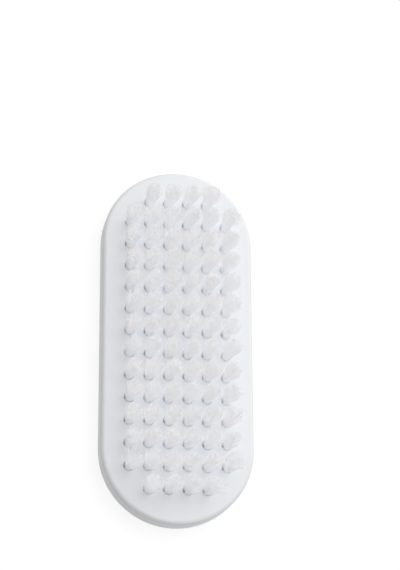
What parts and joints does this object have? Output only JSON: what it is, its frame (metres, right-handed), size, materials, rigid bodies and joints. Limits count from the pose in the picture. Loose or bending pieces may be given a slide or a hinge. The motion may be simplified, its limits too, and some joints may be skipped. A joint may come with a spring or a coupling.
{
  "type": "nail brush",
  "caption": "Nail brush with a flat stadium-shaped plastic base and rows of fine nylon tufts that stand up from it, each held in its hole by a wire anchor.",
  "frame": {"origin": "middle of the flat back that the brush lies on", "axes": "+Z out of the tufted face, along the bristles; Y along the length, +Y towards the far end of the picture; X across the width"},
  "size_m": [0.038, 0.0904, 0.0155],
  "materials": {
    "white_plastic": "moulded, softly glossy white",
    "nylon_filament": "fine translucent natural nylon filaments, trimmed level",
    "anchor_wire": "drawn flat wire, bright"
  },
  "bodies": {
    "root": {"base": "white_plastic", "tuft_row_01": "nylon_filament", "tuft_row_02": "nylon_filament", "tuft_row_03": "nylon_filament", "tuft_row_04": "nylon_filament", "tuft_row_05": "nylon_filament", "tuft_row_06": "nylon_filament", "tuft_row_07": "nylon_filament", "tuft_row_08": "nylon_filament", "tuft_row_09": "nylon_filament", "tuft_row_10": "nylon_filament", "tuft_row_11": "nylon_filament", "tuft_row_12": "nylon_filament", "tuft_row_13": "nylon_filament", "tuft_row_14": "nylon_filament", "anchor_row_01": "anchor_wire", "anchor_row_02": "anchor_wire", "anchor_row_03": "anchor_wire", "anchor_row_04": "anchor_wire", "anchor_row_05": "anchor_wire", "anchor_row_06": "anchor_wire", "anchor_row_07": "anchor_wire", "anchor_row_08": "anchor_wire", "anchor_row_09": "anchor_wire", "anchor_row_10": "anchor_wire", "anchor_row_11": "anchor_wire", "anchor_row_12": "anchor_wire", "anchor_row_13": "anchor_wire", "anchor_row_14": "anchor_wire"}
  },
  "joints": []
}
